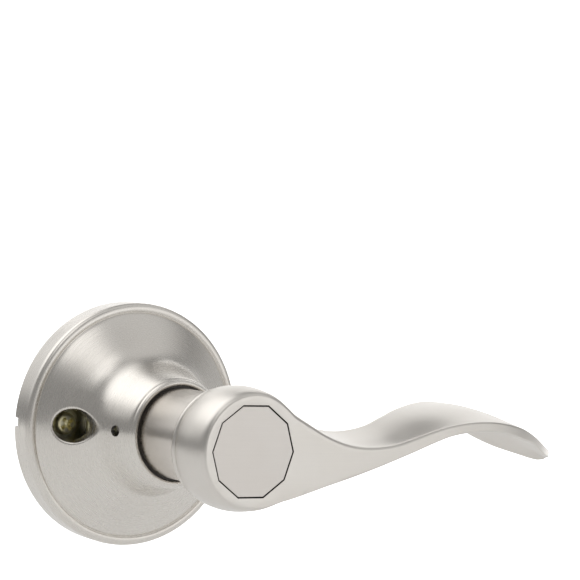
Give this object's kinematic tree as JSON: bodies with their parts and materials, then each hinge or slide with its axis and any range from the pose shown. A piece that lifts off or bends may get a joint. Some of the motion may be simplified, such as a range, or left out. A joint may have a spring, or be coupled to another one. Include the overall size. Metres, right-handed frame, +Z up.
{
  "type": "door lever handle",
  "caption": "Spring-return door lever handle with a wave-shaped lever, flared round rose, screw access holes and a half-round spindle",
  "frame": {"origin": "centre of the rose's back face, where the spindle axis meets the door's surface", "axes": "-Y points out of the door towards the hand (front), +X runs along the lever at rest, +Z is up; the spindle runs along +Y into the door"},
  "size_m": [0.1472, 0.1049, 0.067],
  "materials": {
    "satin_nickel": "satin nickel plating over die-cast zinc and drawn steel, fine brushed grain",
    "spring_steel": "dark oil-tempered spring steel",
    "zinc_plated_steel": "stamped steel with clear-yellow zinc plating",
    "yellow_zinc": "yellow zinc plating",
    "die_cast_zinc": "as-cast zinc alloy",
    "plain_steel": "bright plain steel",
    "black_nylon": "moulded black nylon"
  },
  "bodies": {
    "chassis": {"rose": "satin_nickel", "rose_clips": "spring_steel", "mounting_plate": "zinc_plated_steel", "mounting_screws": "yellow_zinc", "screw_washers": "yellow_zinc", "bearing_sleeve": "plain_steel", "stop_posts": "plain_steel", "spring_anchor": "plain_steel", "return_spring": "yellow_zinc", "guide_bushing": "black_nylon"},
    "lever": {"lever": "satin_nickel", "face_cap": "satin_nickel", "cap_plug": "black_nylon", "neck_sleeve": "satin_nickel", "drive_tube": "plain_steel", "drive_cam": "plain_steel", "wave_washer": "spring_steel", "retaining_ring": "spring_steel", "spindle_block": "die_cast_zinc", "spindle": "plain_steel", "spindle_pin": "plain_steel", "catch_spring": "spring_steel"},
    "catch": {"lever_catch": "plain_steel"}
  },
  "joints": [
    {"name": "lever_turn", "type": "hinge", "parent": "chassis", "child": "lever", "pos_m": [0, 0, 0], "axis": [0, 1, 0], "range_deg": [-50, 50], "stiffness_Nm_per_rad": 1.2, "deforming": ["return_spring"]},
    {"name": "catch_press", "type": "slide", "parent": "lever", "child": "catch", "axis": [1, 0, 0], "range_m": [0, 0.0016], "stiffness_N_per_m": 400, "deforming": ["catch_spring"]}
  ]
}
